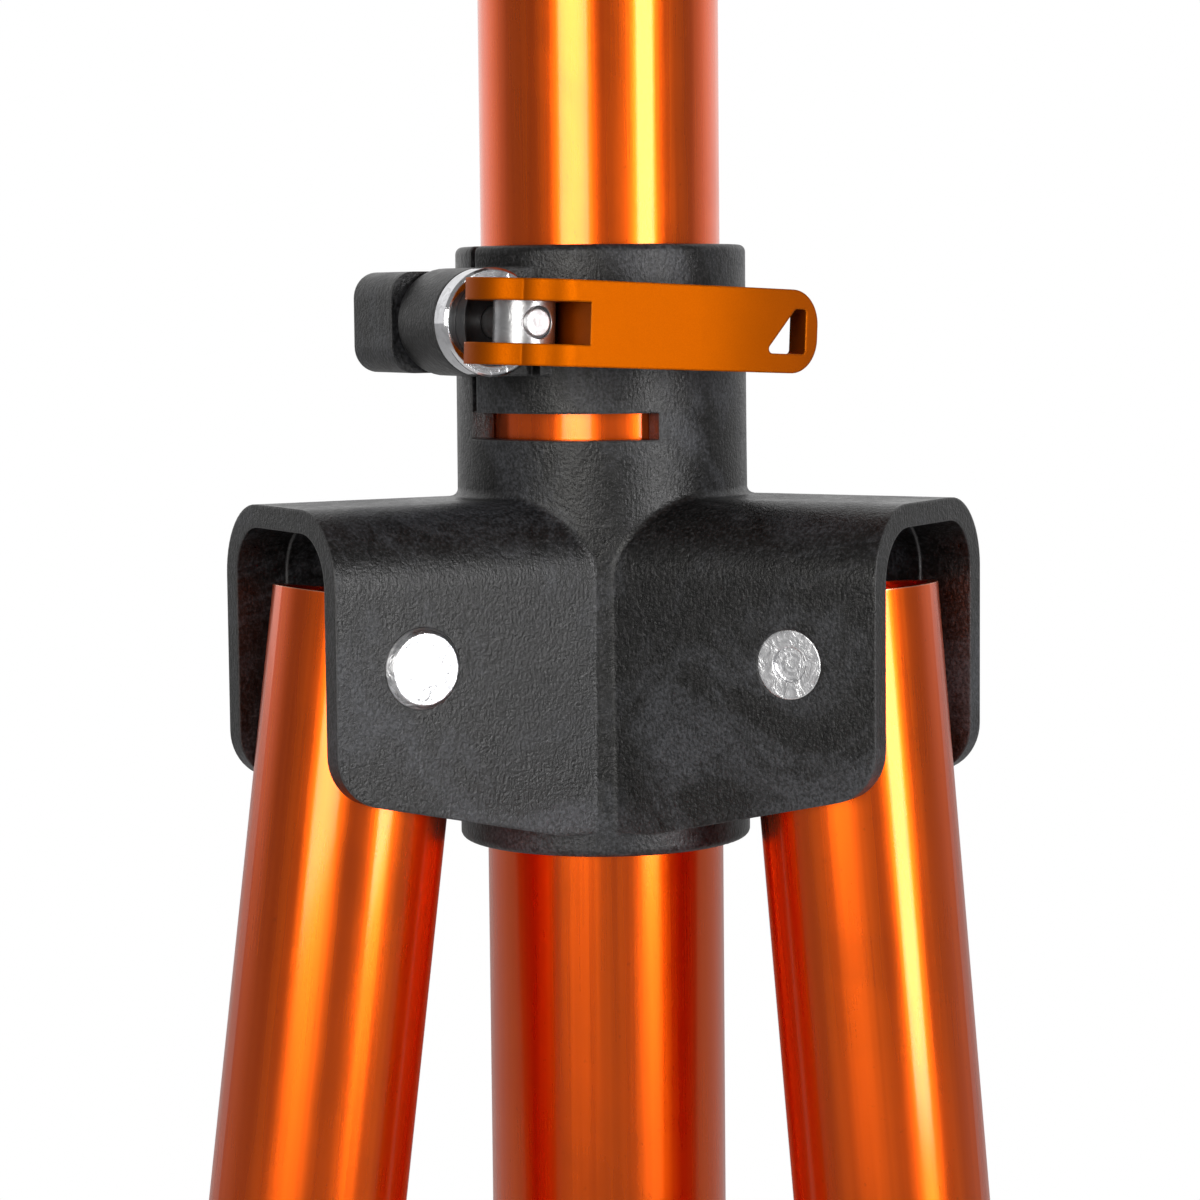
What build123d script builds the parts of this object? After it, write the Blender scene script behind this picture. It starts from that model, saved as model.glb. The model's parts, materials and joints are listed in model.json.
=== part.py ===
"""Surveyor tripod with an elevating column.

A moulded hub carries three leg yokes and a split collar with a cam lever that clamps the
column. Each leg is a round tube on a friction pin, with a telescopic lower leg held by its own
cam clamp. Millimetres, +Z up. The origin is the base of the instrument stud: the centre of the
head plate's top face, on the column's axis.
"""
from build123d import *
from math import cos, sin, sqrt, radians
from typing import NamedTuple
import os

# ---- Overall sizes -------------------------------------------------------------------------
column_length = 560.0
column_raised = 160.0  # bare column above the hub as the tripod is stored
upper_leg_length = 790.0  # whole tube, from its top end
lower_leg_length = 660.0
lower_leg_overlap = 490.0  # of the lower leg inside the upper one when pushed in
leg_azimuths = {"left": 210.0, "right": 330.0, "rear": 90.0}
leg_tilts = {"left": 7.7, "right": 5.2, "rear": 6.4}  # degrees from the column, as it stands
leg_tilt_limit = 25.0  # the leg's top corner meets the hub's stop pad here

# ---- Clearances, each side -----------------------------------------------------------------
slide_gap = 0.10  # column in the hub and glides in the leg tubes
pivot_gap = 0.05  # turning fits on pins and barrel nuts
hole_gap = 0.20  # rods and pins through plain holes
seat_gap = 0.03  # pieces pushed into each other for good
cheek_gap = 0.40  # leg tube between the yoke's cheeks

# ---- Tubes ---------------------------------------------------------------------------------
column_r = 20.0
column_wall = 2.0
leg_r = 16.0
leg_wall = 1.6
lower_leg_wall = 1.5
nesting_gap = 1.0  # between the lower leg and the bore of the upper one, filled by the glide

# ---- Hub, heights measured from the leg pivots ---------------------------------------------
hub_rise = 66.3
hub_drop = 33.1
hub_wall_top = 4.15
hub_wall_foot = 4.45
rim_round = 1.2
stop_pad_t = 1.9  # between the barrel and a leg's top corner at its widest
mouth_reach = 15.0  # cheeks past the pin
yoke_wall = 4.05
yoke_top = 25.0
yoke_roof = 4.0
yoke_outer_round = 12.0
yoke_inner_round = 8.4
yoke_foot_round = 8.5
yoke_foot_outer = -19.9  # bottom edge of the cheeks at the mouth
yoke_foot_inner = -28.9  # and where they run level, inside the barrel's wall
mouth_step = 0.25
mouth_step_depth = 9.0
shoulder_round = 1.4
slit_width = 1.8
relief_low = 34.75
relief_high = 39.1
relief_start = 209.0  # azimuths of the relief slot's ends
relief_end = 292.0
ear_lap = 3.0  # the ears are drawn from this far inside the bore, which trims them
ledge_end = 15.8  # a rib under the lever, along the collar
ledge_sink = 3.65  # its edge, inside the barrel's outside
ledge_t = 1.8
clamp_height = 54.0
clamp_azimuth = 210.0
lever_droop = 2.6

# ---- Pivot pins ----------------------------------------------------------------------------
pin_r = 5.5
pin_head_lip = 1.1
pin_head_face_lip = 0.15
pin_head_t = 1.3
pin_dimple_r = 2.8
pin_dimple_depth = 1.0
leg_top = 10.3  # tube end above the pin
insert_recess = 4.0  # insert's top below the tube's end
insert_drop = 18.0

# ---- Head ----------------------------------------------------------------------------------
plate_r = 55.0
plate_t = 8.0
plate_round = 1.5
neck_flange_r = 34.0
neck_flange_t = 5.0
neck_collar_lip = 3.0  # past the column's outside
neck_collar_t = 14.0
neck_plug_length = 45.0
neck_wall = 4.0
stud_r = 7.94
stud_height = 16.0
stud_shank_r = 7.0
stud_shank_length = 16.0
stud_relief_lip = 0.4  # shallow recess round the stud, so that an instrument's base seats flat
stud_relief_depth = 0.5
stud_chamfer = 1.5
screw_circle_r = 27.0
screw_r = 2.5
screw_head_r = 4.9
screw_length = 12.0
screw_angle = 90.0
screw_count = 3
socket_r = 1.6
socket_depth = 2.0

# ---- Column foot and leg ends --------------------------------------------------------------
cap_flange_t = 3.0
cap_plug_length = 22.0
glide_length = 24.0
glide_plug_length = 16.0
collar_wall = 3.6
collar_seat = 30.0  # upper leg tube inside its collar
collar_grip = 34.0  # collar below the tube's end
collar_relief_drop = 4.0
collar_relief_height = 3.0
collar_relief_sweep = 100.0
collar_round = 1.0
shoe_seat = 34.0
shoe_wall = 3.4
shoe_floor_t = 4.0
shoe_nose = 26.0
shoe_nose_r = 9.0
tread_reach = 44.0
tread_t = 6.0
tread_root = 16.0  # step plate's top at the shoe, above the tube's end
tread_edge_top = 8.0  # and its other corners, above the shoe's floor
tread_edge_foot = 4.0
tread_foot = -8.0
point_shank_r = 5.0
point_shank_length = 18.0
point_r = 7.0
point_length = 30.0
point_tip_r = 1.6


# ---- Cam clamps ----------------------------------------------------------------------------
hub_rod_standoff = 5.55  # cross rod's axis past the hub's barrel
hub_ear_tail = 9.1  # plain ear past the rod's axis
leg_rod_standoff = 5.0
leg_ear_tail = 7.2
nut_grooves = 12

# ---- Radii that follow ---------------------------------------------------------------------
column_inner_r = column_r - column_wall
leg_inner_r = leg_r - leg_wall
lower_leg_r = leg_inner_r - nesting_gap
lower_inner_r = lower_leg_r - lower_leg_wall
collar_r = leg_r + collar_wall
barrel_top_r = column_r + slide_gap + hub_wall_top
barrel_foot_r = column_r + slide_gap + hub_wall_foot
corner_reach = leg_r * cos(radians(leg_tilt_limit)) + leg_top * sin(radians(leg_tilt_limit))
stop_pad_r = barrel_top_r + stop_pad_t
pin_circle_r = stop_pad_r + corner_reach
yoke_reach = pin_circle_r + mouth_reach
yoke_half_width = leg_r + cheek_gap + yoke_wall
ear_root_r = column_r - ear_lap


class CamClamp(NamedTuple):
    """Sizes of one split clamp: ears, cross rod, barrel nut and cam lever."""

    rod_reach: float  # rod's distance from the clamped tube's axis
    rod_r: float
    boss_r: float
    boss_end: float  # outer face of the lever-side ear, from the split
    back_ear_t: float
    back_ear_reach: float  # from the clamped tube's axis
    back_ear_height: float
    back_ear_round: float
    washer_t: float
    cup_r: float  # recess in the washer that seats the saddle
    cup_depth: float
    barrel_r: float
    barrel_offset: float  # barrel nut's axis from the split
    cam_r: float
    cam_shift: tuple  # cam's centre from the barrel nut, in the lever's plan
    cam_play: float
    lobe_r: float  # rounded root of the lever's outer face
    lobe_x: float
    face_y: float
    flat_end: float  # the outer face is flat to here, then curves to the tip
    curve_r: float
    tip_x: float
    tip_t: float
    inner_y: float
    waist_x: float
    waist_y: float
    height: float
    slot_height: float  # fork that straddles the rod
    slot_end: float
    tip_round: float
    eye_x: float  # the window near the tip, a sloping four-sided hole
    eye_length: float
    eye_height: float
    eye_slope: float
    eye_corner: float
    edge: float
    nut_r: float
    nut_t: float


hub_clamp_size = CamClamp(
    rod_reach=barrel_top_r + hub_rod_standoff, rod_r=2.5, boss_r=8.7, boss_end=13.1,
    back_ear_t=13.5, back_ear_reach=barrel_top_r + hub_rod_standoff + hub_ear_tail,
    back_ear_height=16.5, back_ear_round=4.3,
    washer_t=4.2, cup_r=6.9, cup_depth=3.2,
    barrel_r=4.9, barrel_offset=27.2, cam_r=8.4, cam_shift=(-0.5, -0.9), cam_play=0.25,
    lobe_r=7.5, lobe_x=2.9, face_y=11.4, flat_end=25.6, curve_r=110.0,
    tip_x=49.2, tip_t=4.2, inner_y=4.9, waist_x=11.0, waist_y=2.4,
    height=13.4, slot_height=6.6, slot_end=5.5, tip_round=5.6,
    eye_x=38.0, eye_length=8.6, eye_height=7.2, eye_slope=2.4, eye_corner=0.72, edge=0.45,
    nut_r=6.0, nut_t=5.0,
)
leg_clamp_size = CamClamp(
    rod_reach=collar_r + leg_rod_standoff, rod_r=2.0, boss_r=7.0, boss_end=10.2,
    back_ear_t=10.5, back_ear_reach=collar_r + leg_rod_standoff + leg_ear_tail,
    back_ear_height=13.5, back_ear_round=3.4,
    washer_t=3.2, cup_r=5.5, cup_depth=2.4,
    barrel_r=3.9, barrel_offset=21.2, cam_r=6.7, cam_shift=(-0.4, -0.7), cam_play=0.25,
    lobe_r=6.0, lobe_x=2.3, face_y=9.1, flat_end=20.0, curve_r=80.0,
    tip_x=40.0, tip_t=3.6, inner_y=3.9, waist_x=9.0, waist_y=2.0,
    height=11.0, slot_height=5.4, slot_end=4.4, tip_round=4.5,
    eye_x=31.0, eye_length=6.6, eye_height=5.8, eye_slope=2.0, eye_corner=0.6, edge=0.4,
    nut_r=4.8, nut_t=4.2,
)

# ---- Heights that follow -------------------------------------------------------------------
column_top_z = -(plate_t + neck_flange_t + neck_collar_t)
hub_top_z = column_top_z - column_raised
pivot_z = hub_top_z - hub_rise
column_bottom_z = column_top_z - column_length
leg_end = leg_top - upper_leg_length  # heights along a leg, from its pin
lower_top = leg_end + lower_leg_overlap
lower_end = lower_top - lower_leg_length


os.makedirs("parts", exist_ok=True)


# ---- Placing -------------------------------------------------------------------------------
def turned(azimuth, height, radius=0.0):
    """A level frame at an azimuth: x points outward and y runs anticlockwise."""
    a = radians(azimuth)
    outward = (cos(a), sin(a), 0)
    return Plane(origin=(radius * cos(a), radius * sin(a), height), x_dir=outward, z_dir=(0, 0, 1))


def leg_frame(azimuth, tilt):
    """A leg's frame at its pin: z runs up the leg and x points outward."""
    a, t = radians(azimuth), radians(tilt)
    origin = (pin_circle_r * cos(a), pin_circle_r * sin(a), pivot_z)
    outward = (cos(t) * cos(a), cos(t) * sin(a), sin(t))
    up = (-sin(t) * cos(a), -sin(t) * sin(a), cos(t))
    return Plane(origin=origin, x_dir=outward, z_dir=up)


def framed(frame, at, x_dir, z_dir):
    """A plane given by a point and two directions in a frame's own coordinates."""
    origin = frame.from_local_coords(Vector(*at))
    x_end = frame.from_local_coords(Vector(*at) + Vector(*x_dir))
    z_end = frame.from_local_coords(Vector(*at) + Vector(*z_dir))
    return Plane(origin=origin, x_dir=x_end - origin, z_dir=z_end - origin)


def across(frame, y):
    """Looks along the clamp's rod: x outward, y up, and extrusion runs towards -y."""
    return framed(frame, (0, y, 0), (1, 0, 0), (0, -1, 0))


def elevation(frame):
    """A side view through a frame's axis: x outward and y up."""
    return framed(frame, (0, 0, 0), (1, 0, 0), (0, -1, 0))


def lever_frame(frame, size, droop):
    """At the barrel nut: x runs to the lever's tip and y away from the clamped tube."""
    d = radians(droop)
    at = (size.rod_reach, size.barrel_offset, 0)
    return framed(frame, at, (-cos(d), 0, -sin(d)), (sin(d), 0, -cos(d)))


def save(built, name):
    """Labels a finished piece and writes it out."""
    built.part.label = name
    export_step(built.part, f"parts/{name}.step")


# ---- Hub -----------------------------------------------------------------------------------
def add_ears(frame, size, root_r):
    """Adds both ears of a split clamp to the part being built."""
    half_slit = slit_width / 2
    with BuildSketch(across(frame, size.boss_end)) as boss:
        with Locations((size.rod_reach, 0)):
            Circle(size.boss_r)
        with Locations(((root_r + size.rod_reach) / 2, 0)):
            Rectangle(size.rod_reach - root_r, 2 * size.boss_r)
    extrude(boss.sketch, amount=size.boss_end - half_slit)
    with BuildSketch(across(frame, -half_slit)) as lug:
        with Locations(((root_r + size.back_ear_reach) / 2, 0)):
            Rectangle(size.back_ear_reach - root_r, size.back_ear_height)
        fillet(lug.vertices().group_by(Axis.X)[-1], size.back_ear_round)
    extrude(lug.sketch, amount=size.back_ear_t)


def nut_face(size):
    """Where the sunk nut meets the floor of its pocket, along the rod."""
    return size.nut_t - slit_width / 2 - size.back_ear_t


def cut_rod_hole(frame, size):
    """Cuts the cross rod's hole through both ears, and the nut's pocket in the back one."""
    with BuildSketch(across(frame, size.boss_end + 1)) as hole:
        with Locations((size.rod_reach, 0)):
            Circle(size.rod_r + hole_gap)
    extrude(hole.sketch, amount=size.boss_end + size.back_ear_t + 2, mode=Mode.SUBTRACT)
    with BuildSketch(across(frame, nut_face(size))) as pocket:
        with Locations((size.rod_reach, 0)):
            Circle(size.nut_r + seat_gap)
    extrude(pocket.sketch, amount=size.nut_t + 1, mode=Mode.SUBTRACT)


def cut_slit(frame, size, inner_r, low, high):
    """Cuts the slit between the ears, over heights measured from the frame."""
    far = size.back_ear_reach + 2
    with BuildSketch(frame.offset(low)) as slit:
        with Locations(((inner_r + far) / 2, 0)):
            Rectangle(far - inner_r, slit_width)
    extrude(slit.sketch, amount=high - low, mode=Mode.SUBTRACT)


def cut_relief(frame, radius, start, sweep, low, high):
    """Cuts a slot part of the way round, over heights measured from the frame."""
    with BuildSketch(frame.offset(low)) as sector:
        with BuildLine():
            arc = CenterArc((0, 0), radius, start, sweep)
            Line((0, 0), arc @ 0)
            Line((0, 0), arc @ 1)
        make_face()
    extrude(sector.sketch, amount=high - low, mode=Mode.SUBTRACT)


def in_shoulder(edge):
    """True for an edge where a yoke's rounded top runs into the barrel."""
    ends = [edge @ 0, edge @ 0.5, edge @ 1]
    on_barrel = all(barrel_top_r < Vector(p.X, p.Y).length < barrel_foot_r for p in ends)
    return on_barrel and all(pivot_z < p.Z < pivot_z + yoke_top + 1 for p in ends)


pivot_level = Plane.XY.offset(pivot_z)
yoke_side = Plane(origin=(0, 0, pivot_z), x_dir=(1, 0, 0), z_dir=(0, -1, 0))

with BuildPart() as yoke:
    with BuildSketch(yoke_side) as cheek:
        with BuildLine():
            Polyline(
                (0, yoke_top),
                (yoke_reach, yoke_top),
                (yoke_reach, yoke_foot_outer),
                (column_r, yoke_foot_inner),
                (0, yoke_foot_inner),
                close=True,
            )
        make_face()
        fillet(cheek.vertices().group_by(Axis.X)[-1].sort_by(Axis.Y)[0], yoke_foot_round)
    extrude(amount=yoke_half_width, both=True)
    fillet(yoke.edges().filter_by(Axis.X).group_by(Axis.Z)[-1], yoke_outer_round)
    mouth = Plane(origin=(yoke_reach, 0, pivot_z), x_dir=(0, 1, 0), z_dir=(1, 0, 0))
    for step, start_r in ((0, stop_pad_r), (mouth_step, yoke_reach - mouth_step_depth)):
        with BuildSketch(mouth.offset(start_r - yoke_reach)) as channel:
            half_width = leg_r + cheek_gap + step
            ceiling = yoke_top - yoke_roof + step
            with Locations((0, (ceiling - 2 * hub_drop) / 2)):
                Rectangle(2 * half_width, ceiling + 2 * hub_drop)
            fillet(channel.vertices().group_by(Axis.Y)[-1], yoke_inner_round)
        extrude(amount=yoke_reach - start_r + 1, mode=Mode.SUBTRACT)
    with BuildSketch(yoke_side):
        with Locations((pin_circle_r, 0)):
            Circle(pin_r + seat_gap)
    extrude(amount=yoke_half_width + 1, both=True, mode=Mode.SUBTRACT)

hub_clamp = turned(clamp_azimuth, pivot_z + clamp_height)

with BuildPart() as hub:
    with BuildSketch(yoke_side) as barrel:
        with BuildLine():
            Polyline(
                (0, -hub_drop),
                (barrel_foot_r, -hub_drop),
                (barrel_top_r, hub_rise),
                (0, hub_rise),
                close=True,
            )
        make_face()
        rims = barrel.vertices().filter_by_position(Axis.X, column_r, yoke_reach)
        fillet(rims, rim_round)
    revolve(axis=Axis.Z)
    with PolarLocations(0, len(leg_azimuths), start_angle=leg_azimuths["rear"]):
        add(yoke.part)
    seam = hub.edges().filter_by(GeomType.LINE, reverse=True).filter_by(in_shoulder)
    fillet(seam, shoulder_round)
    with BuildSketch(across(hub_clamp, ledge_end)):
        ledge_r = barrel_top_r - ledge_sink
        with Locations(((ear_root_r + ledge_r) / 2, -hub_clamp_size.boss_r + ledge_t / 2)):
            Rectangle(ledge_r - ear_root_r, ledge_t)
    extrude(amount=ledge_end)
    add_ears(hub_clamp, hub_clamp_size, ear_root_r)
    with BuildSketch(Plane.XY.offset(hub_top_z + 1)):
        Circle(column_r + slide_gap)
    extrude(amount=-(hub_rise + hub_drop + 2), mode=Mode.SUBTRACT)
    cut_rod_hole(hub_clamp, hub_clamp_size)
    slit_low = relief_low - clamp_height
    slit_high = hub_rise - clamp_height + 1
    cut_slit(hub_clamp, hub_clamp_size, ear_root_r, slit_low, slit_high)
    relief_sweep = relief_end - relief_start
    cut_relief(pivot_level, stop_pad_r, relief_start, relief_sweep, relief_low, relief_high)
save(hub, "hub_casting")

# Pins: a low head on one cheek, a staked tail flush with the other.
for side, azimuth in leg_azimuths.items():
    pin_line = turned(azimuth, pivot_z)
    with BuildPart() as pin:
        with BuildSketch(across(pin_line, yoke_half_width)):
            with Locations((pin_circle_r, 0)):
                Circle(pin_r)
        extrude(amount=2 * yoke_half_width)
        for radius, at in ((pin_r + pin_head_lip, 0), (pin_r + pin_head_face_lip, pin_head_t)):
            with BuildSketch(across(pin_line, yoke_half_width + at)):
                with Locations((pin_circle_r, 0)):
                    Circle(radius)
        loft()
        with BuildSketch(across(pin_line, -yoke_half_width + pin_dimple_depth)):
            with Locations((pin_circle_r, 0)):
                Circle(pin_dimple_r)
        extrude(amount=pin_dimple_depth, mode=Mode.SUBTRACT)
    save(pin, f"pivot_pin_{side}")


# ---- Cam clamps ----------------------------------------------------------------------------
def make_clamp(frame, size, droop, prefix):
    """Makes the loose pieces of one cam clamp where they sit, lever closed."""
    lever_plan = lever_frame(frame, size, droop)
    lever_side = framed(lever_plan, (0, 0, 0), (1, 0, 0), (0, 1, 0))
    washer_end = size.boss_end + size.washer_t
    nut_start = nut_face(size)
    saddle_r = size.cam_r + sqrt(size.cam_shift[0] ** 2 + size.cam_shift[1] ** 2) + size.cam_play
    rod_end = size.barrel_offset + size.barrel_r - size.edge

    with BuildPart() as rod:
        with BuildSketch(across(frame, rod_end)):
            with Locations((size.rod_reach, 0)):
                Circle(size.rod_r)
        extrude(amount=rod_end - nut_start + size.nut_t - size.edge)
        chamfer(rod.edges().filter_by(GeomType.CIRCLE), size.edge)
    save(rod, f"{prefix}_rod")

    with BuildPart() as nut:
        with BuildSketch(across(frame, nut_start)):
            with Locations((size.rod_reach, 0)):
                Circle(size.nut_r)
        extrude(amount=size.nut_t)
        chamfer(nut.edges().filter_by(GeomType.CIRCLE), 2 * size.edge)
        with BuildSketch(across(frame, nut_start)):
            with Locations((size.rod_reach, 0)):
                with PolarLocations(size.nut_r, nut_grooves):
                    Circle(size.edge)
                Circle(size.rod_r + seat_gap)
        extrude(amount=size.nut_t, mode=Mode.SUBTRACT)
    save(nut, f"{prefix}_nut")

    with BuildPart() as washer:
        with BuildSketch(across(frame, washer_end)):
            with Locations((size.rod_reach, 0)):
                Circle(size.boss_r)
        extrude(amount=size.washer_t)
        chamfer(washer.edges().filter_by(GeomType.CIRCLE), size.edge)
        for radius, depth in ((size.cup_r, size.cup_depth), (size.rod_r + hole_gap, size.washer_t)):
            with BuildSketch(across(frame, washer_end)):
                with Locations((size.rod_reach, 0)):
                    Circle(radius)
            extrude(amount=depth, mode=Mode.SUBTRACT)
    save(washer, f"{prefix}_washer")

    with BuildPart() as saddle:
        with BuildSketch(across(frame, size.barrel_offset)):
            with Locations((size.rod_reach, 0)):
                Circle(size.cup_r - seat_gap)
        extrude(amount=size.barrel_offset - washer_end + size.cup_depth)
        with BuildSketch(lever_plan):
            Circle(saddle_r)
        extrude(amount=2 * size.height, both=True, mode=Mode.SUBTRACT)
        with BuildSketch(across(frame, size.barrel_offset)):
            with Locations((size.rod_reach, 0)):
                Circle(size.rod_r + hole_gap)
        extrude(amount=size.barrel_offset, mode=Mode.SUBTRACT)
    save(saddle, f"{prefix}_saddle")

    with BuildPart() as barrel_nut:
        with BuildSketch(lever_plan):
            Circle(size.barrel_r)
        extrude(amount=size.height / 2 - size.edge, both=True)
        chamfer(barrel_nut.edges().filter_by(GeomType.CIRCLE), size.edge)
        with BuildSketch(across(frame, size.barrel_offset + 2 * size.barrel_r)):
            with Locations((size.rod_reach, 0)):
                Circle(size.rod_r + seat_gap)
        extrude(amount=4 * size.barrel_r, mode=Mode.SUBTRACT)
    save(barrel_nut, f"{prefix}_barrel_nut")

    bend = sqrt(size.curve_r**2 - (size.tip_x - size.flat_end) ** 2)
    tip_y = size.face_y - size.curve_r + bend
    eye_end = size.eye_x + size.eye_length
    with BuildPart() as lever:
        with BuildSketch(lever_plan):
            with BuildLine():
                Line((size.lobe_x, size.face_y), (size.flat_end, size.face_y))
                RadiusArc((size.flat_end, size.face_y), (size.tip_x, tip_y), size.curve_r)
                Polyline(
                    (size.tip_x, tip_y),
                    (size.tip_x, tip_y - size.tip_t),
                    (size.flat_end, size.inner_y),
                    (size.waist_x, size.waist_y),
                    (size.lobe_x, 0),
                    (size.lobe_x, size.face_y),
                )
            make_face()
            with Locations(size.cam_shift):
                Circle(size.cam_r)
            with Locations((size.lobe_x, size.face_y - size.lobe_r)):
                Circle(size.lobe_r)
        extrude(amount=size.height / 2, both=True)
        with BuildSketch(lever_side) as outline:
            Rectangle(2 * size.tip_x, size.height)
            fillet(outline.vertices().group_by(Axis.X)[-1], size.tip_round)
        extrude(amount=2 * size.face_y, both=True, mode=Mode.INTERSECT)
        with BuildSketch(lever_side):
            with Locations((size.slot_end - size.tip_x / 2, 0)):
                Rectangle(size.tip_x, size.slot_height)
        extrude(amount=2 * size.face_y, both=True, mode=Mode.SUBTRACT)
        with BuildSketch(lever_side) as eye:
            with BuildLine():
                Polyline(
                    (size.eye_x, -size.eye_height / 2),
                    (eye_end, -size.eye_height / 2),
                    (eye_end, size.eye_height / 2),
                    (eye_end - size.eye_slope, size.eye_height / 2),
                    close=True,
                )
            make_face()
            fillet(eye.vertices(), size.eye_corner)
        extrude(amount=2 * size.face_y, both=True, mode=Mode.SUBTRACT)
        with BuildSketch(lever_plan):
            Circle(size.barrel_r + pivot_gap)
        extrude(amount=size.height, both=True, mode=Mode.SUBTRACT)
    save(lever, f"{prefix}_lever")


make_clamp(hub_clamp, hub_clamp_size, lever_droop, "hub")


# ---- Column and head -----------------------------------------------------------------------
with BuildPart() as column:
    with BuildSketch(Plane.XY.offset(column_bottom_z)):
        Circle(column_r)
        Circle(column_inner_r, mode=Mode.SUBTRACT)
    extrude(amount=column_length)
save(column, "column_tube")

with BuildPart() as end_cap:
    with BuildSketch(Plane.XY.offset(column_bottom_z - cap_flange_t)):
        Circle(column_r)
    extrude(amount=cap_flange_t)
    chamfer(end_cap.edges().group_by(Axis.Z)[0], rim_round)
    with BuildSketch(Plane.XY.offset(column_bottom_z)):
        Circle(column_inner_r - seat_gap)
        Circle(column_inner_r - neck_wall, mode=Mode.SUBTRACT)
    extrude(amount=cap_plug_length)
save(end_cap, "column_end_cap")

with BuildPart() as neck:
    with BuildSketch(Plane.XZ) as turned_neck:
        with BuildLine():
            Polyline(
                (0, column_top_z - neck_plug_length),
                (column_inner_r - seat_gap, column_top_z - neck_plug_length),
                (column_inner_r - seat_gap, column_top_z),
                (column_r + neck_collar_lip, column_top_z),
                (column_r + neck_collar_lip, column_top_z + neck_collar_t / 2),
                (neck_flange_r, column_top_z + neck_collar_t),
                (neck_flange_r, -plate_t),
                (0, -plate_t),
                close=True,
            )
        make_face()
    revolve(axis=Axis.Z)
    with BuildSketch(Plane.XY.offset(-plate_t)):
        Circle(stud_shank_r + seat_gap)
        with PolarLocations(screw_circle_r, screw_count, start_angle=screw_angle):
            Circle(screw_r + seat_gap)
    extrude(amount=-(screw_length - plate_t + stud_shank_length), mode=Mode.SUBTRACT)
save(neck, "head_neck")

with BuildPart() as plate:
    with BuildSketch(Plane.XY.offset(-plate_t)):
        Circle(plate_r)
    extrude(amount=plate_t)
    fillet(plate.edges().filter_by(GeomType.CIRCLE), plate_round)
    recess_r = stud_r + stud_relief_lip
    for radius, depth in ((recess_r, stud_relief_depth), (stud_shank_r + seat_gap, plate_t)):
        with BuildSketch(Plane.XY):
            Circle(radius)
        extrude(amount=-depth, mode=Mode.SUBTRACT)
    with Locations(Plane.XY):
        with PolarLocations(screw_circle_r, screw_count, start_angle=screw_angle):
            CounterSinkHole(screw_r + hole_gap, screw_head_r + hole_gap, plate_t)
save(plate, "head_plate")

with BuildPart() as stud:
    with BuildSketch(Plane.XY.offset(-stud_shank_length)):
        Circle(stud_shank_r)
    extrude(amount=stud_shank_length)
    with BuildSketch(Plane.XY):
        Circle(stud_r)
    extrude(amount=stud_height)
    chamfer(stud.edges().group_by(Axis.Z)[-1], stud_chamfer)
save(stud, "instrument_stud")

with BuildPart() as screws:
    with BuildSketch(Plane.XZ) as screw_profile:
        with BuildLine():
            Polyline(
                (0, -screw_length),
                (screw_r, -screw_length),
                (screw_r, screw_r - screw_head_r),
                (screw_head_r, 0),
                (0, 0),
                close=True,
            )
        make_face()
    one_screw = revolve(axis=Axis.Z, mode=Mode.PRIVATE)
    with PolarLocations(screw_circle_r, screw_count, start_angle=screw_angle):
        add(one_screw)
        with Locations((0, 0, 0)):
            CounterBoreHole(socket_r / 2, socket_r, socket_depth, socket_depth)
save(screws, "head_screws")


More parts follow.
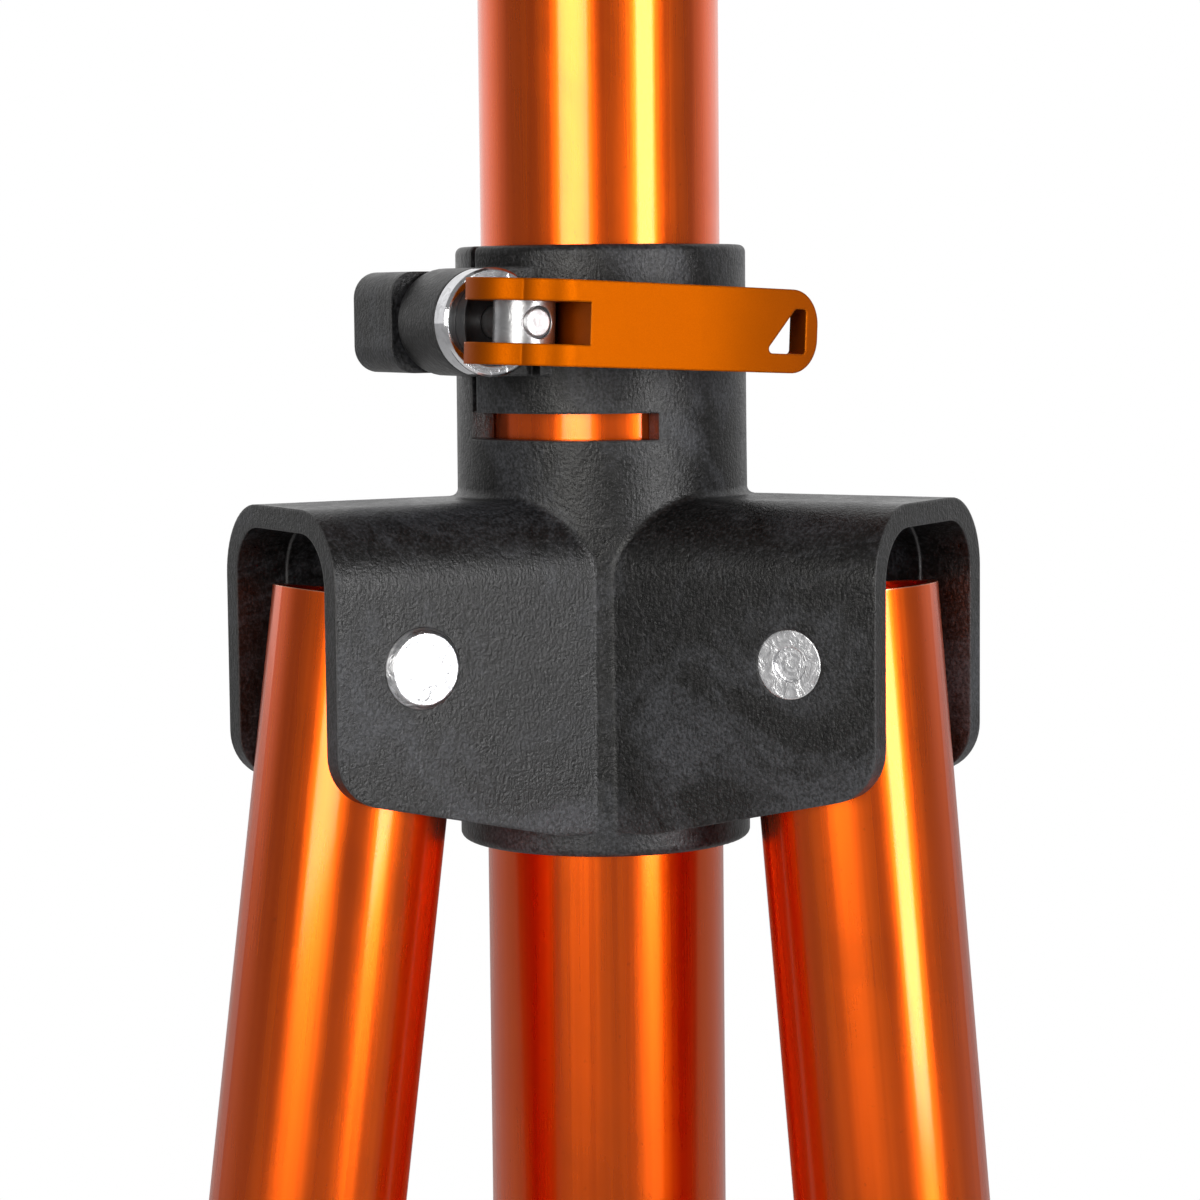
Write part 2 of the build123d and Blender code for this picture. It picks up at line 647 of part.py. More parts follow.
# ---- Legs ----------------------------------------------------------------------------------
def make_leg(side, azimuth, tilt):
    """Makes every piece of one leg, pushed in and clamped."""
    leg = leg_frame(azimuth, tilt)
    grip_end = leg_end - collar_grip
    clamp_z = grip_end + leg_clamp_size.boss_r + collar_round
    clamp = leg.offset(clamp_z)
    floor = lower_end - shoe_floor_t
    nose = floor - shoe_nose

    with BuildPart() as tube:
        with BuildSketch(leg.offset(leg_end)):
            Circle(leg_r)
            Circle(leg_inner_r, mode=Mode.SUBTRACT)
        extrude(amount=upper_leg_length)
        with BuildSketch(across(leg, 0)):
            Circle(pin_r + hole_gap)
        extrude(amount=leg_r + 1, both=True, mode=Mode.SUBTRACT)
    save(tube, f"upper_leg_tube_{side}")

    with BuildPart() as insert:
        with BuildSketch(leg.offset(-insert_drop)):
            Circle(leg_inner_r - seat_gap)
        extrude(amount=insert_drop + leg_top - insert_recess)
        with BuildSketch(across(leg, 0)):
            Circle(pin_r + pivot_gap)
        extrude(amount=leg_r + 1, both=True, mode=Mode.SUBTRACT)
    save(insert, f"leg_pivot_insert_{side}")

    with BuildPart() as collar:
        with BuildSketch(leg.offset(grip_end)):
            Circle(collar_r)
        extrude(amount=collar_grip + collar_seat)
        chamfer(collar.edges().filter_by(GeomType.CIRCLE), collar_round)
        add_ears(clamp, leg_clamp_size, lower_leg_r + 1)
        with BuildSketch(leg.offset(leg_end)):
            Circle(leg_r + seat_gap)
        extrude(amount=collar_seat + 1, mode=Mode.SUBTRACT)
        with BuildSketch(leg.offset(grip_end - 1)):
            Circle(lower_leg_r + slide_gap)
        extrude(amount=collar_grip + 2, mode=Mode.SUBTRACT)
        cut_rod_hole(clamp, leg_clamp_size)
        relief_top = leg_end - collar_relief_drop
        relief_bottom = relief_top - collar_relief_height
        slit_root_r = lower_leg_r - ear_lap
        cut_slit(clamp, leg_clamp_size, slit_root_r, grip_end - clamp_z - 1, relief_top - clamp_z)
        cut_relief(leg, 2 * leg_r, 0, collar_relief_sweep, relief_bottom, relief_top)
    save(collar, f"leg_collar_{side}")

    make_clamp(clamp, leg_clamp_size, 0, f"leg_clamp_{side}")

    with BuildPart() as lower:
        with BuildSketch(leg.offset(lower_end)):
            Circle(lower_leg_r)
            Circle(lower_inner_r, mode=Mode.SUBTRACT)
        extrude(amount=lower_leg_length)
    save(lower, f"lower_leg_tube_{side}")

    with BuildPart() as glide:
        with BuildSketch(leg.offset(lower_top)):
            Circle(leg_inner_r - slide_gap)
        extrude(amount=glide_length)
        chamfer(glide.edges().filter_by(GeomType.CIRCLE), collar_round)
        with BuildSketch(leg.offset(lower_top)):
            Circle(lower_inner_r - seat_gap)
        extrude(amount=-glide_plug_length)
    save(glide, f"lower_leg_glide_{side}")

    with BuildPart() as shoe:
        with BuildSketch(elevation(leg)) as turned_shoe:
            with BuildLine():
                Polyline(
                    (0, nose),
                    (shoe_nose_r, nose),
                    (lower_leg_r + shoe_wall, floor),
                    (lower_leg_r + shoe_wall, lower_end + shoe_seat),
                    (0, lower_end + shoe_seat),
                    close=True,
                )
            make_face()
        revolve(axis=Axis(leg.origin, leg.z_dir))
        with BuildSketch(elevation(leg)) as tread:
            with BuildLine():
                Polyline(
                    (shoe_nose_r, floor + tread_foot),
                    (tread_reach, floor + tread_edge_foot),
                    (tread_reach, floor + tread_edge_top),
                    (lower_leg_r + shoe_wall / 2, lower_end + tread_root),
                    (lower_leg_r - shoe_wall / 2, lower_end),
                    close=True,
                )
            make_face()
        extrude(amount=tread_t / 2, both=True)
        with BuildSketch(leg.offset(lower_end)):
            Circle(lower_leg_r + seat_gap)
        extrude(amount=shoe_seat + 1, mode=Mode.SUBTRACT)
        with BuildSketch(leg.offset(nose)):
            Circle(point_shank_r + seat_gap)
        extrude(amount=point_shank_length, mode=Mode.SUBTRACT)
    save(shoe, f"foot_shoe_{side}")

    with BuildPart() as point:
        with BuildSketch(elevation(leg)):
            with BuildLine():
                Polyline(
                    (0, nose - point_length),
                    (point_tip_r, nose - point_length),
                    (point_r, nose - point_length / 3),
                    (point_r, nose),
                    (point_shank_r, nose),
                    (point_shank_r, nose + point_shank_length),
                    (0, nose + point_shank_length),
                    close=True,
                )
            make_face()
        revolve(axis=Axis(leg.origin, leg.z_dir))
    save(point, f"foot_point_{side}")


for side, azimuth in leg_azimuths.items():
    make_leg(side, azimuth, leg_tilts[side])
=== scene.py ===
"""Looks of the surveyor tripod: procedural materials, a threaded stud, studio and camera."""

import json
from math import cos, pi, radians, sin

import bmesh
import bpy
from mathutils import Matrix, Vector


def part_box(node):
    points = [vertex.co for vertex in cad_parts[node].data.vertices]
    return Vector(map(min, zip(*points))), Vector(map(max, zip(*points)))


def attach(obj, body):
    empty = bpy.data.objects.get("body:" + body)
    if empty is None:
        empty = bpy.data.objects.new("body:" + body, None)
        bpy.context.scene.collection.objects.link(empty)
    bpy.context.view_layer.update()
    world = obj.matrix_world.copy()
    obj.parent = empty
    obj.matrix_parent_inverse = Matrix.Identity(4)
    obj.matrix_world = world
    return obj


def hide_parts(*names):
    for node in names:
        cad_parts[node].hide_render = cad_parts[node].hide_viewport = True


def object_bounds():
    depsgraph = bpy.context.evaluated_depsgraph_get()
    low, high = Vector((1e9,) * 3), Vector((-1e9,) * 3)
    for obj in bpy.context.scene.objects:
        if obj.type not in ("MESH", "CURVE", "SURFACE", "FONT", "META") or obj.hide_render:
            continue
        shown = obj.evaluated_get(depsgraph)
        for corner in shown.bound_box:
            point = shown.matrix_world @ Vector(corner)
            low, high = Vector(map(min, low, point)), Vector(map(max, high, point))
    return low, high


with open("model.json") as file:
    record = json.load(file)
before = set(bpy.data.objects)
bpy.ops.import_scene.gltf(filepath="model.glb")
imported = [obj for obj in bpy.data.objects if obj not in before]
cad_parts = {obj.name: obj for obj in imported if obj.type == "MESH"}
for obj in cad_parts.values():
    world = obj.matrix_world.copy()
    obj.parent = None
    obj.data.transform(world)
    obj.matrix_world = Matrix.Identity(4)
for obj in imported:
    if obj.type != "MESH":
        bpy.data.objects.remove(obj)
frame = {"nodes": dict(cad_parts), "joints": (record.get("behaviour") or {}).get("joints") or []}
cad_low, cad_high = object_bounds()
nodes = frame["nodes"]
joints = {joint["name"]: joint for joint in frame["joints"]}
sides = ("left", "right", "rear")
up = Vector((0, 0, 1))
pivot_z = joints["leg_spread_left"]["pos_m"][2]

# ---- Named sizes, metres and degrees -------------------------------------------------------
lens_mm = 98.08
camera_back = 0.5504
camera_right = -0.0006
camera_above_pivots = 0.0579
camera_pitch = 5.303
camera_roll = -0.569
camera_yaw = -0.287
sensor_width_mm = 36.0
clip_near, clip_far = 0.01, 100.0
thread_pitch = 0.0254 / 11
thread_depth = 0.613 * thread_pitch
crest_share, flank_share = 0.12, 0.76
stud_chamfer = 0.0015
lamp_distance = 1.5
lamp_top = 0.55
world_turn_low, world_turn_high = 0.1, 0.65
world_front, world_back = 0.25, 1.0
floor_half_width = 30.0
floor_white_from, floor_white_to = 0.7, 1.8
floor_rough = 0.6
bevel_samples = 6
metal_wear = (0.9, 0.9, 0.9, 1.0)


# ---- Shader building -----------------------------------------------------------------------
class Shade:
    """One material's node tree, with short calls for the nodes used here."""

    def __init__(self, name, origin=(0, 0, 0), axis=(0, 0, 1)):
        self.material = bpy.data.materials.new(name)
        self.material.use_nodes = True
        self.tree = self.material.node_tree
        self.surface = self.tree.nodes["Principled BSDF"]
        self.place = self.node("ShaderNodeTexCoord").outputs["Object"]
        turn = Vector(axis).rotation_difference(up)
        mapping = self.node("ShaderNodeMapping", Vector=self.place)
        mapping.inputs["Rotation"].default_value = turn.to_euler()
        mapping.inputs["Location"].default_value = -(turn @ Vector(origin))
        self.along = mapping.outputs["Vector"]

    def node(self, kind, **inputs):
        made = self.tree.nodes.new(kind)
        for name, value in inputs.items():
            self.put(made.inputs[name], value)
        return made

    def put(self, socket, value):
        """Links an output to the socket, or sets the socket to a plain value."""
        if isinstance(value, bpy.types.NodeSocket):
            self.tree.links.new(value, socket)
        else:
            socket.default_value = value

    def math(self, operation, first, second=0.0):
        made = self.node("ShaderNodeMath")
        made.operation = operation
        self.put(made.inputs[0], first)
        self.put(made.inputs[1], second)
        return made.outputs[0]

    def stretched(self, vector, scale):
        made = self.node("ShaderNodeVectorMath")
        made.operation = "MULTIPLY"
        self.put(made.inputs[0], vector)
        self.put(made.inputs[1], scale)
        return made.outputs[0]

    def noise(self, scale, detail=3.0, rough=0.5, warp=0.0, vector=None):
        made = self.node(
            "ShaderNodeTexNoise",
            Vector=self.place if vector is None else vector,
            Scale=scale,
            Detail=detail,
            Roughness=rough,
            Distortion=warp,
        )
        return made.outputs[0]

    def span(self, value, low, high, to_low, to_high):
        """A value carried from one range to another and held at its ends."""
        made = self.node("ShaderNodeMapRange", Value=value)
        made.inputs["From Min"].default_value = low
        made.inputs["From Max"].default_value = high
        made.inputs["To Min"].default_value = to_low
        made.inputs["To Max"].default_value = to_high
        return made.outputs[0]

    def mix(self, share, first, second):
        made = self.node("ShaderNodeMix")
        made.data_type = "RGBA"
        self.put(made.inputs["Factor"], share)
        self.put(made.inputs[6], first)
        self.put(made.inputs[7], second)
        return made.outputs[2]

    def edges(self, radius, low=0.015, high=0.25):
        """1 on outer and inner edges, 0 on open faces."""
        bevel = self.node("ShaderNodeBevel", Radius=radius)
        bevel.samples = bevel_samples
        flat = self.node("ShaderNodeNewGeometry").outputs["Normal"]
        same = self.node("ShaderNodeVectorMath")
        same.operation = "DOT_PRODUCT"
        self.tree.links.new(bevel.outputs[0], same.inputs[0])
        self.tree.links.new(flat, same.inputs[1])
        bend = self.math("SUBTRACT", 1.0, same.outputs["Value"])
        return self.span(bend, low, high, 0.0, 1.0)

    def rounded(self, radius):
        """The shading normal with edges softened over a radius."""
        bevel = self.node("ShaderNodeBevel", Radius=radius)
        bevel.samples = bevel_samples
        return bevel.outputs[0]

    def bump(self, height, distance, strength=1.0, under=None):
        made = self.node("ShaderNodeBump", Height=height, Distance=distance, Strength=strength)
        if under is not None:
            self.put(made.inputs["Normal"], under)
        return made.outputs[0]

    def finish(self, colour, rough, normal=None, metal=0.0, **fixed):
        self.put(self.surface.inputs["Base Color"], colour)
        self.put(self.surface.inputs["Roughness"], rough)
        self.surface.inputs["Metallic"].default_value = metal
        if normal is not None:
            self.put(self.surface.inputs["Normal"], normal)
        for name, value in fixed.items():
            self.surface.inputs[name.replace("_", " ")].default_value = value
        return self.material


def rgb(red, green, blue):
    return (red, green, blue, 1.0)


def anodised(name, origin, axis):
    """Orange anodised tube: drawing lines along the axis, soft stains, scuffed ends."""
    s = Shade(name, origin, axis)
    deep, pale = rgb(0.80, 0.093, 0.0022), rgb(0.90, 0.120, 0.0045)
    stain, speck, scuff = rgb(0.62, 0.06, 0.002), rgb(0.45, 0.045, 0.004), rgb(0.84, 0.55, 0.38)
    fine = s.noise(1.0, 2.0, 0.6, vector=s.stretched(s.along, (1900, 1900, 9)))
    broad = s.noise(1.0, 3.0, 0.6, vector=s.stretched(s.along, (420, 420, 5)))
    stains = s.noise(26.0, 6.0, 0.62, 0.6)
    specks = s.span(s.noise(900.0, 2.0, 0.5), 0.70, 0.78, 0.0, 1.0)
    scuffs = s.edges(0.0005, 0.05, 0.3)
    colour = s.mix(s.span(broad, 0.3, 0.7, 0.0, 1.0), deep, pale)
    colour = s.mix(s.span(stains, 0.52, 0.75, 0.0, 0.22), colour, stain)
    colour = s.mix(s.math("MULTIPLY", specks, 0.35), colour, speck)
    colour = s.mix(s.math("MULTIPLY", scuffs, 0.8), colour, scuff)
    drawn = s.span(broad, 0.3, 0.7, 0.22, 0.29)
    rough = s.math("ADD", drawn, s.span(stains, 0.4, 0.7, 0.0, 0.06))
    height = s.math("ADD", fine, s.math("MULTIPLY", broad, 1.6))
    normal = s.bump(height, 0.000010, 0.55)
    coat = {"Coat_Weight": 0.42, "Coat_Roughness": 0.10, "Coat_IOR": 1.5}
    return s.finish(colour, rough, normal, 1.0, **coat)


def satin(name):
    """Bead-blasted orange anodised lever, polished bare where edges rub."""
    s = Shade(name)
    deep, pale = rgb(0.38, 0.076, 0.0003), rgb(0.45, 0.091, 0.0006)
    pit, rubbed = rgb(0.27, 0.046, 0.0003), rgb(0.80, 0.24, 0.02)
    grain = s.noise(5200.0, 2.0, 0.6)
    cloud = s.noise(60.0, 4.0, 0.6)
    colour = s.mix(s.span(cloud, 0.3, 0.7, 0.0, 1.0), deep, pale)
    colour = s.mix(s.span(grain, 0.35, 0.65, 0.0, 0.18), colour, pit)
    colour = s.mix(s.math("MULTIPLY", s.edges(0.0004), 0.4), colour, rubbed)
    blasted = s.span(grain, 0.3, 0.7, 0.50, 0.58)
    rough = s.math("ADD", blasted, s.span(cloud, 0.3, 0.7, -0.03, 0.03))
    normal = s.bump(grain, 0.000018, 0.5, s.rounded(0.0005))
    return s.finish(colour, rough, normal, 1.0)


def nylon(name):
    """Glass-filled black nylon: cloudy flow marks, fine grain, fibres, paler rubbed edges."""
    s = Shade(name)
    deep, pale = rgb(0.0016, 0.0015, 0.0014), rgb(0.0074, 0.0070, 0.0070)
    speckle, bloom = rgb(0.030, 0.029, 0.031), rgb(0.060, 0.062, 0.070)
    scored, rubbed = rgb(0.07, 0.069, 0.07), rgb(0.085, 0.083, 0.085)
    flow = s.noise(30.0, 8.0, 0.68, 1.6)
    cloud = s.noise(75.0, 6.0, 0.66, 0.8)
    leather = s.noise(750.0, 4.0, 0.62, 0.5)
    grain = s.noise(1900.0, 3.0, 0.6)
    fibres = s.noise(1.0, 2.0, 0.6, 0.4, s.stretched(s.place, (2300, 900, 500)))
    scratch_lines = s.noise(1.0, 3.0, 0.55, 0.8, s.stretched(s.place, (260, 900, 1500)))
    scratch = s.span(scratch_lines, 0.62, 0.72, 0.0, 1.0)
    patches = s.span(flow, 0.47, 0.62, 0.0, 1.0)
    haze = s.math("MULTIPLY", patches, s.span(grain, 0.36, 0.64, 0.2, 1.0))
    colour = s.mix(s.span(leather, 0.34, 0.66, 0.0, 1.0), deep, pale)
    colour = s.mix(s.span(grain, 0.50, 0.66, 0.0, 0.65), colour, speckle)
    colour = s.mix(s.math("MULTIPLY", haze, 0.85), colour, bloom)
    colour = s.mix(s.math("MULTIPLY", scratch, 0.3), colour, scored)
    colour = s.mix(s.math("MULTIPLY", s.edges(0.0006), 0.6), colour, rubbed)
    moulded = s.span(flow, 0.36, 0.66, 0.29, 0.45)
    rough = s.math("ADD", moulded, s.span(leather, 0.3, 0.7, -0.05, 0.07))
    height = s.math("ADD", s.math("MULTIPLY", grain, 0.85), s.math("MULTIPLY", fibres, 0.45))
    height = s.math("ADD", height, s.math("MULTIPLY", leather, 0.45))
    height = s.math("ADD", height, s.math("MULTIPLY", cloud, 0.9))
    normal = s.bump(height, 0.00016, 0.8, s.rounded(0.0006))
    return s.finish(colour, rough, normal, Specular_IOR_Level=0.34)


def acetal(name):
    """Smooth black bearing plastic with turning marks and light rubbing."""
    s = Shade(name)
    deep, pale, rubbed = rgb(0.014, 0.014, 0.015), rgb(0.026, 0.026, 0.028), rgb(0.07, 0.07, 0.07)
    cloud = s.noise(90.0, 4.0, 0.6, 0.5)
    lines = s.noise(1.0, 2.0, 0.5, vector=s.stretched(s.place, (60, 60, 2600)))
    colour = s.mix(s.span(cloud, 0.3, 0.7, 0.0, 1.0), deep, pale)
    colour = s.mix(s.math("MULTIPLY", s.edges(0.0004), 0.5), colour, rubbed)
    rough = s.span(cloud, 0.3, 0.7, 0.26, 0.40)
    normal = s.bump(lines, 0.00002, 0.5, s.rounded(0.0004))
    return s.finish(colour, rough, normal)


def turned(name, origin, axis, bright, dark, low, high, ring=2200.0, scale=1.0, dents=1.0):
    """Turned metal: rings about the axis, stains in the low spots, brighter edges."""
    s = Shade(name, origin, axis)
    split = s.node("ShaderNodeSeparateXYZ", Vector=s.along)
    across = s.math("POWER", split.outputs["X"], 2.0)
    across = s.math("ADD", across, s.math("POWER", split.outputs["Y"], 2.0))
    radius = s.math("SQRT", across)
    joined = s.node("ShaderNodeCombineXYZ", X=radius, Y=split.outputs["Z"])
    rings = s.noise(ring, 2.0, 0.6, vector=joined.outputs[0])
    cloud = s.noise(150.0 * scale, 5.0, 0.65, 0.6)
    scratch_lines = s.noise(1.0, 2.0, 0.5, 0.5, s.stretched(s.place, (900, 2600, 500)))
    scratch = s.span(scratch_lines, 0.62, 0.72, 0.0, 1.0)
    blotch = s.noise(540.0 * scale, 4.0, 0.6, 1.0)
    colour = s.mix(s.span(cloud, 0.35, 0.7, 0.0, 1.0), bright, dark)
    colour = s.mix(s.span(blotch, 0.50, 0.66, 0.0, 0.45), colour, rgb(0.40, 0.40, 0.41))
    colour = s.mix(s.math("MULTIPLY", s.edges(0.0003), 0.5), colour, metal_wear)
    cut = s.span(rings, 0.3, 0.7, low, high)
    rough = s.math("ADD", cut, s.math("MULTIPLY", scratch, 0.10))
    rough = s.math("ADD", rough, s.span(cloud, 0.3, 0.7, -0.02, 0.05))
    height = s.math("ADD", rings, s.math("MULTIPLY", scratch, -0.6))
    height = s.math("ADD", height, s.math("MULTIPLY", blotch, dents))
    normal = s.bump(height, 0.000012, 0.6, s.rounded(0.00035))
    return s.finish(colour, rough, normal, 1.0)


def coated(name):
    """Black powder coat on cast aluminium, with bare metal showing on rubbed edges."""
    s = Shade(name)
    peel = s.noise(1100.0, 3.0, 0.55)
    cloud = s.noise(40.0, 5.0, 0.6, 0.4)
    deep, pale, bare = rgb(0.030, 0.030, 0.032), rgb(0.055, 0.055, 0.058), rgb(0.45, 0.45, 0.46)
    broken = s.span(s.noise(220.0, 4.0, 0.6), 0.45, 0.62, 0.0, 1.0)
    wear = s.math("MULTIPLY", s.edges(0.0007), broken)
    colour = s.mix(s.span(cloud, 0.3, 0.7, 0.0, 1.0), deep, pale)
    colour = s.mix(wear, colour, bare)
    rough = s.span(peel, 0.3, 0.7, 0.38, 0.54)
    normal = s.bump(peel, 0.00006, 0.6, s.rounded(0.0006))
    return s.finish(colour, rough, normal, 0.0)


# ---- Materials on the CAD nodes ------------------------------------------------------------
def dress(node, material):
    slots = nodes[node].data.materials
    slots.clear()
    slots.append(material)


def centre(node):
    low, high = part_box(node)
    return (low + high) / 2


black_nylon = nylon("black_nylon_moulded")
black_acetal = acetal("black_acetal_turned")
black_coat = coated("black_powder_coat")
light_steel, dull_steel = rgb(0.80, 0.80, 0.82), rgb(0.62, 0.62, 0.64)
light_zinc, dull_zinc = rgb(0.70, 0.71, 0.73), rgb(0.50, 0.51, 0.52)
worked_light, worked_dull = rgb(0.50, 0.50, 0.51), rgb(0.36, 0.36, 0.37)

dress("hub_casting", black_nylon)
dress("column_tube", anodised("orange_anodised_column", (0, 0, 0), up))
dress("column_end_cap", black_acetal)
dress("head_neck", black_coat)
dress("head_plate", black_coat)
screws = turned("zinc_head_screws", (0, 0, 0), up, light_zinc, dull_zinc, 0.2, 0.32)
dress("head_screws", screws)


def dress_clamp(prefix, lever, hinge):
    """Finishes one cam clamp: turned about the rod's line, its barrel about the hinge."""
    nut, washer = centre(prefix + "_nut"), centre(prefix + "_washer")
    rod_axis = (washer - nut).normalized()
    steel, worked = (light_steel, dull_steel), (worked_light, worked_dull)
    hinge_line = (hinge["pos_m"], hinge["axis"])
    polished = turned(prefix + "_polished", washer, rod_axis, *steel, 0.05, 0.11)
    zinc = turned(prefix + "_zinc", nut, rod_axis, *worked, 0.36, 0.5, dents=12.0)
    barrel = turned(prefix + "_barrel", *hinge_line, *worked, 0.30, 0.42, dents=9.0)
    dress(prefix + "_rod", zinc)
    dress(prefix + "_nut", zinc)
    dress(prefix + "_washer", polished)
    dress(prefix + "_saddle", black_acetal)
    dress(prefix + "_barrel_nut", barrel)
    dress(lever, satin(prefix + "_lever_orange"))


dress_clamp("hub", "hub_lever", joints["hub_lever_pivot"])
for side in sides:
    leg_axis = -Vector(joints[f"leg_extend_{side}"]["axis"])
    pivot = joints[f"leg_spread_{side}"]["pos_m"]
    pin_axis = joints[f"leg_spread_{side}"]["axis"]
    tube = anodised(f"orange_anodised_{side}", pivot, leg_axis)
    dress(f"upper_leg_tube_{side}", tube)
    dress(f"lower_leg_tube_{side}", tube)
    dress(f"leg_pivot_insert_{side}", black_acetal)
    dress(f"lower_leg_glide_{side}", black_acetal)
    dress(f"leg_collar_{side}", black_nylon)
    dress(f"foot_shoe_{side}", black_coat)
    zinc = (light_zinc, dull_zinc)
    point = turned(f"steel_point_{side}", pivot, leg_axis, *zinc, 0.22, 0.36, ring=900.0)
    dress(f"foot_point_{side}", point)
    steel = (light_steel, dull_steel)
    pin = turned(f"steel_pin_{side}", pivot, pin_axis, *steel, 0.22, 0.38, scale=0.75, dents=26.0)
    dress(f"pivot_pin_{side}", pin)
    dress_clamp(f"leg_clamp_{side}", f"leg_clamp_{side}_lever", joints[f"leg_lever_pivot_{side}"])


# ---- Threaded stud -------------------------------------------------------------------------
def threaded(name, axis_at, low, high, radius, root, foot, chamfer, around=72, per_turn=14):
    """A one-start thread as one helical skin, closed at both ends, plain below its foot."""
    made = bmesh.new()
    rows = round((high - low) / thread_pitch * per_turn)
    rings = []
    for row in range(rows + 1):
        z = low + (high - low) * row / rows
        ring = []
        for step in range(around):
            angle = 2 * pi * step / around
            phase = ((z - low) / thread_pitch - step / around) % 1.0
            flank = abs(2 * phase - 1)
            cut = thread_depth * min(1.0, max(0.0, (flank - crest_share) / flank_share))
            r = root if z < foot else min(radius - cut, radius - chamfer + (high - z))
            ring.append(made.verts.new((axis_at.x + r * cos(angle), axis_at.y + r * sin(angle), z)))
        rings.append(ring)
    for lower, upper in zip(rings, rings[1:]):
        for step in range(around):
            nxt = (step + 1) % around
            made.faces.new((lower[step], lower[nxt], upper[nxt], upper[step]))
    made.faces.new(reversed(rings[0]))
    made.faces.new(rings[-1])
    mesh = bpy.data.meshes.new(name)
    made.to_mesh(mesh)
    made.free()
    piece = bpy.data.objects.new(name, mesh)
    bpy.context.scene.collection.objects.link(piece)
    return piece


stud_low, stud_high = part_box("instrument_stud")
stud_r = (stud_high.x - stud_low.x) / 2
thread_root = stud_r - thread_depth
thread_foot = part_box("head_plate")[1].z
stud = threaded(
    "instrument_stud_thread",
    centre("instrument_stud"),
    stud_low.z,
    stud_high.z,
    stud_r,
    thread_root,
    thread_foot,
    stud_chamfer,
)
stud_steel = turned("steel_stud", (0, 0, 0), up, light_zinc, dull_zinc, 0.2, 0.34, ring=900.0)
stud.data.materials.append(stud_steel)
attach(stud, "column")
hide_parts("instrument_stud")

# ---- Studio --------------------------------------------------------------------------------
scene = bpy.context.scene
scene.view_settings.view_transform = "Standard"


def softbox(name, azimuth, distance, low, high, width, radiance, colour):
    """An upright area light. Azimuth 0 is on the camera's side and grows to the right."""
    lamp = bpy.data.lights.new(name, "AREA")
    lamp.shape = "RECTANGLE"
    lamp.size = width
    lamp.size_y = high - low
    lamp.energy = pi * width * (high - low) * radiance
    lamp.color = colour
    box = bpy.data.objects.new(name, lamp)
    a = radians(azimuth)
    box.location = (distance * sin(a), -distance * cos(a), pivot_z + (low + high) / 2)
    level = Vector((-box.location.x, -box.location.y, 0))
    box.rotation_euler = level.to_track_quat("-Z", "Y").to_euler()
    box.visible_camera = False
    scene.collection.objects.link(box)


softbox(
    "softbox_left",
    azimuth=-24.5,
    distance=lamp_distance,
    low=-0.05,
    high=lamp_top,
    width=0.74,
    radiance=9.2,
    colour=(1.0, 0.99, 0.95),
)
softbox(
    "softbox_right",
    azimuth=44.0,
    distance=lamp_distance,
    low=-0.26,
    high=lamp_top,
    width=0.45,
    radiance=13.5,
    colour=(1.0, 1.0, 1.0),
)

world = bpy.data.worlds.new("studio")
world.use_nodes = True
scene.world = world
sky = world.node_tree
back = sky.nodes["Background"]
back.inputs["Color"].default_value = rgb(1.0, 1.0, 1.0)
facing = sky.nodes.new("ShaderNodeSeparateXYZ")
sky.links.new(sky.nodes.new("ShaderNodeTexCoord").outputs["Generated"], facing.inputs[0])
ramp = sky.nodes.new("ShaderNodeMapRange")
sky.links.new(facing.outputs["Y"], ramp.inputs["Value"])
ramp.inputs["From Min"].default_value = world_turn_low
ramp.inputs["From Max"].default_value = world_turn_high
ramp.inputs["To Min"].default_value = world_front
ramp.inputs["To Max"].default_value = world_back
seen = sky.nodes.new("ShaderNodeLightPath")
direct = sky.nodes.new("ShaderNodeMath")
direct.operation = "MAXIMUM"
sky.links.new(seen.outputs["Is Camera Ray"], direct.inputs[0])
sky.links.new(seen.outputs["Is Transmission Ray"], direct.inputs[1])
level = sky.nodes.new("ShaderNodeMix")
sky.links.new(direct.outputs[0], level.inputs["Factor"])
sky.links.new(ramp.outputs[0], level.inputs["A"])
level.inputs["B"].default_value = 1.0
sky.links.new(level.outputs[0], back.inputs["Strength"])

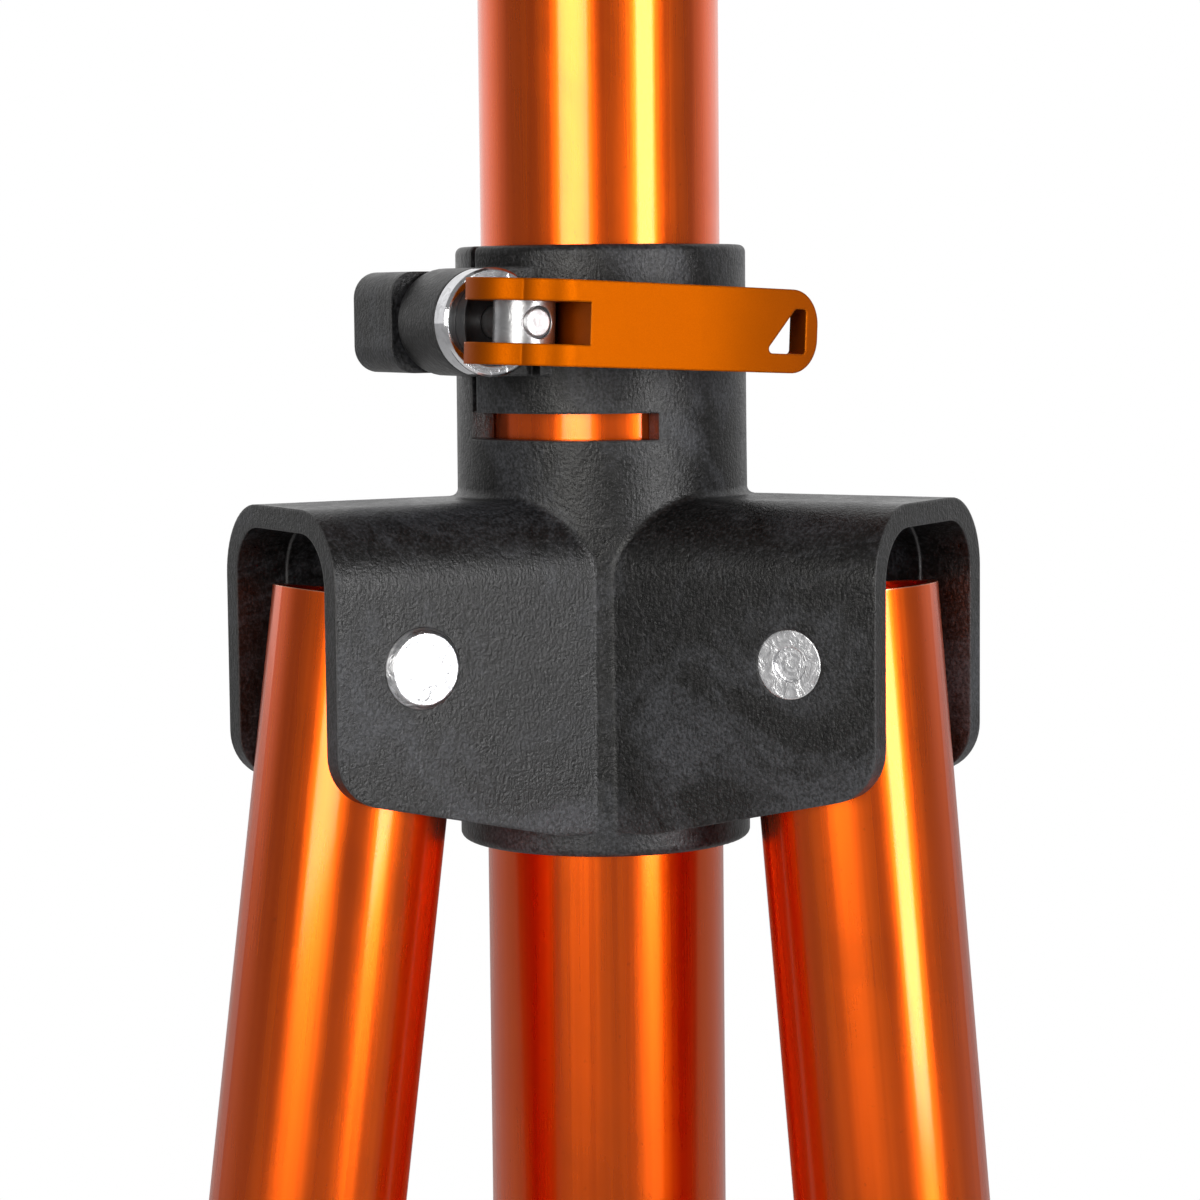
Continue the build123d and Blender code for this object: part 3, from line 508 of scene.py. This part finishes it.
# Floor: pale and shadowed round the feet, white to the camera further out.
floor_mesh = bmesh.new()
bmesh.ops.create_grid(floor_mesh, x_segments=8, y_segments=8, size=floor_half_width)
floor_data = bpy.data.meshes.new("floor")
floor_mesh.to_mesh(floor_data)
floor_mesh.free()
floor = bpy.data.objects.new("floor", floor_data)
floor.location = (0, 0, cad_low.z)
scene.collection.objects.link(floor)
paint = Shade("floor_paint")
dim_floor, light_floor = rgb(0.74, 0.74, 0.74), rgb(0.78, 0.78, 0.78)
paint.finish(paint.mix(paint.noise(3.0, 3.0), dim_floor, light_floor), floor_rough)
glow = paint.node("ShaderNodeEmission", Strength=1.0)
far = paint.node("ShaderNodeVectorMath", Vector=paint.place)
far.operation = "LENGTH"
away = paint.span(far.outputs["Value"], floor_white_from, floor_white_to, 0.0, 1.0)
share = paint.math("MULTIPLY", away, paint.node("ShaderNodeLightPath").outputs["Is Camera Ray"])
blend = paint.node("ShaderNodeMixShader", Fac=share)
paint.tree.links.new(paint.surface.outputs[0], blend.inputs[1])
paint.tree.links.new(glow.outputs[0], blend.inputs[2])
paint.tree.links.new(blend.outputs[0], paint.tree.nodes["Material Output"].inputs["Surface"])
floor_data.materials.append(paint.material)

# ---- Camera --------------------------------------------------------------------------------
pitch, roll, yaw = radians(camera_pitch), radians(camera_roll), radians(camera_yaw)
ahead = Vector((0, cos(pitch), -sin(pitch)))
above = Vector((0, sin(pitch), cos(pitch)))
right = cos(roll) * Vector((1, 0, 0)) + sin(roll) * above
over = cos(roll) * above - sin(roll) * Vector((1, 0, 0))
axes = Matrix((right, over, -ahead)).transposed()
swing = Matrix.Rotation(yaw, 4, "Z")
stand = Matrix.Translation((camera_right, -camera_back, pivot_z + camera_above_pivots))
lens = bpy.data.cameras.new("camera")
lens.lens = lens_mm
lens.sensor_width = sensor_width_mm
lens.clip_start = clip_near
lens.clip_end = clip_far
camera = bpy.data.objects.new("camera", lens)
camera.matrix_world = swing @ stand @ axes.to_4x4()
scene.collection.objects.link(camera)
scene.camera = camera
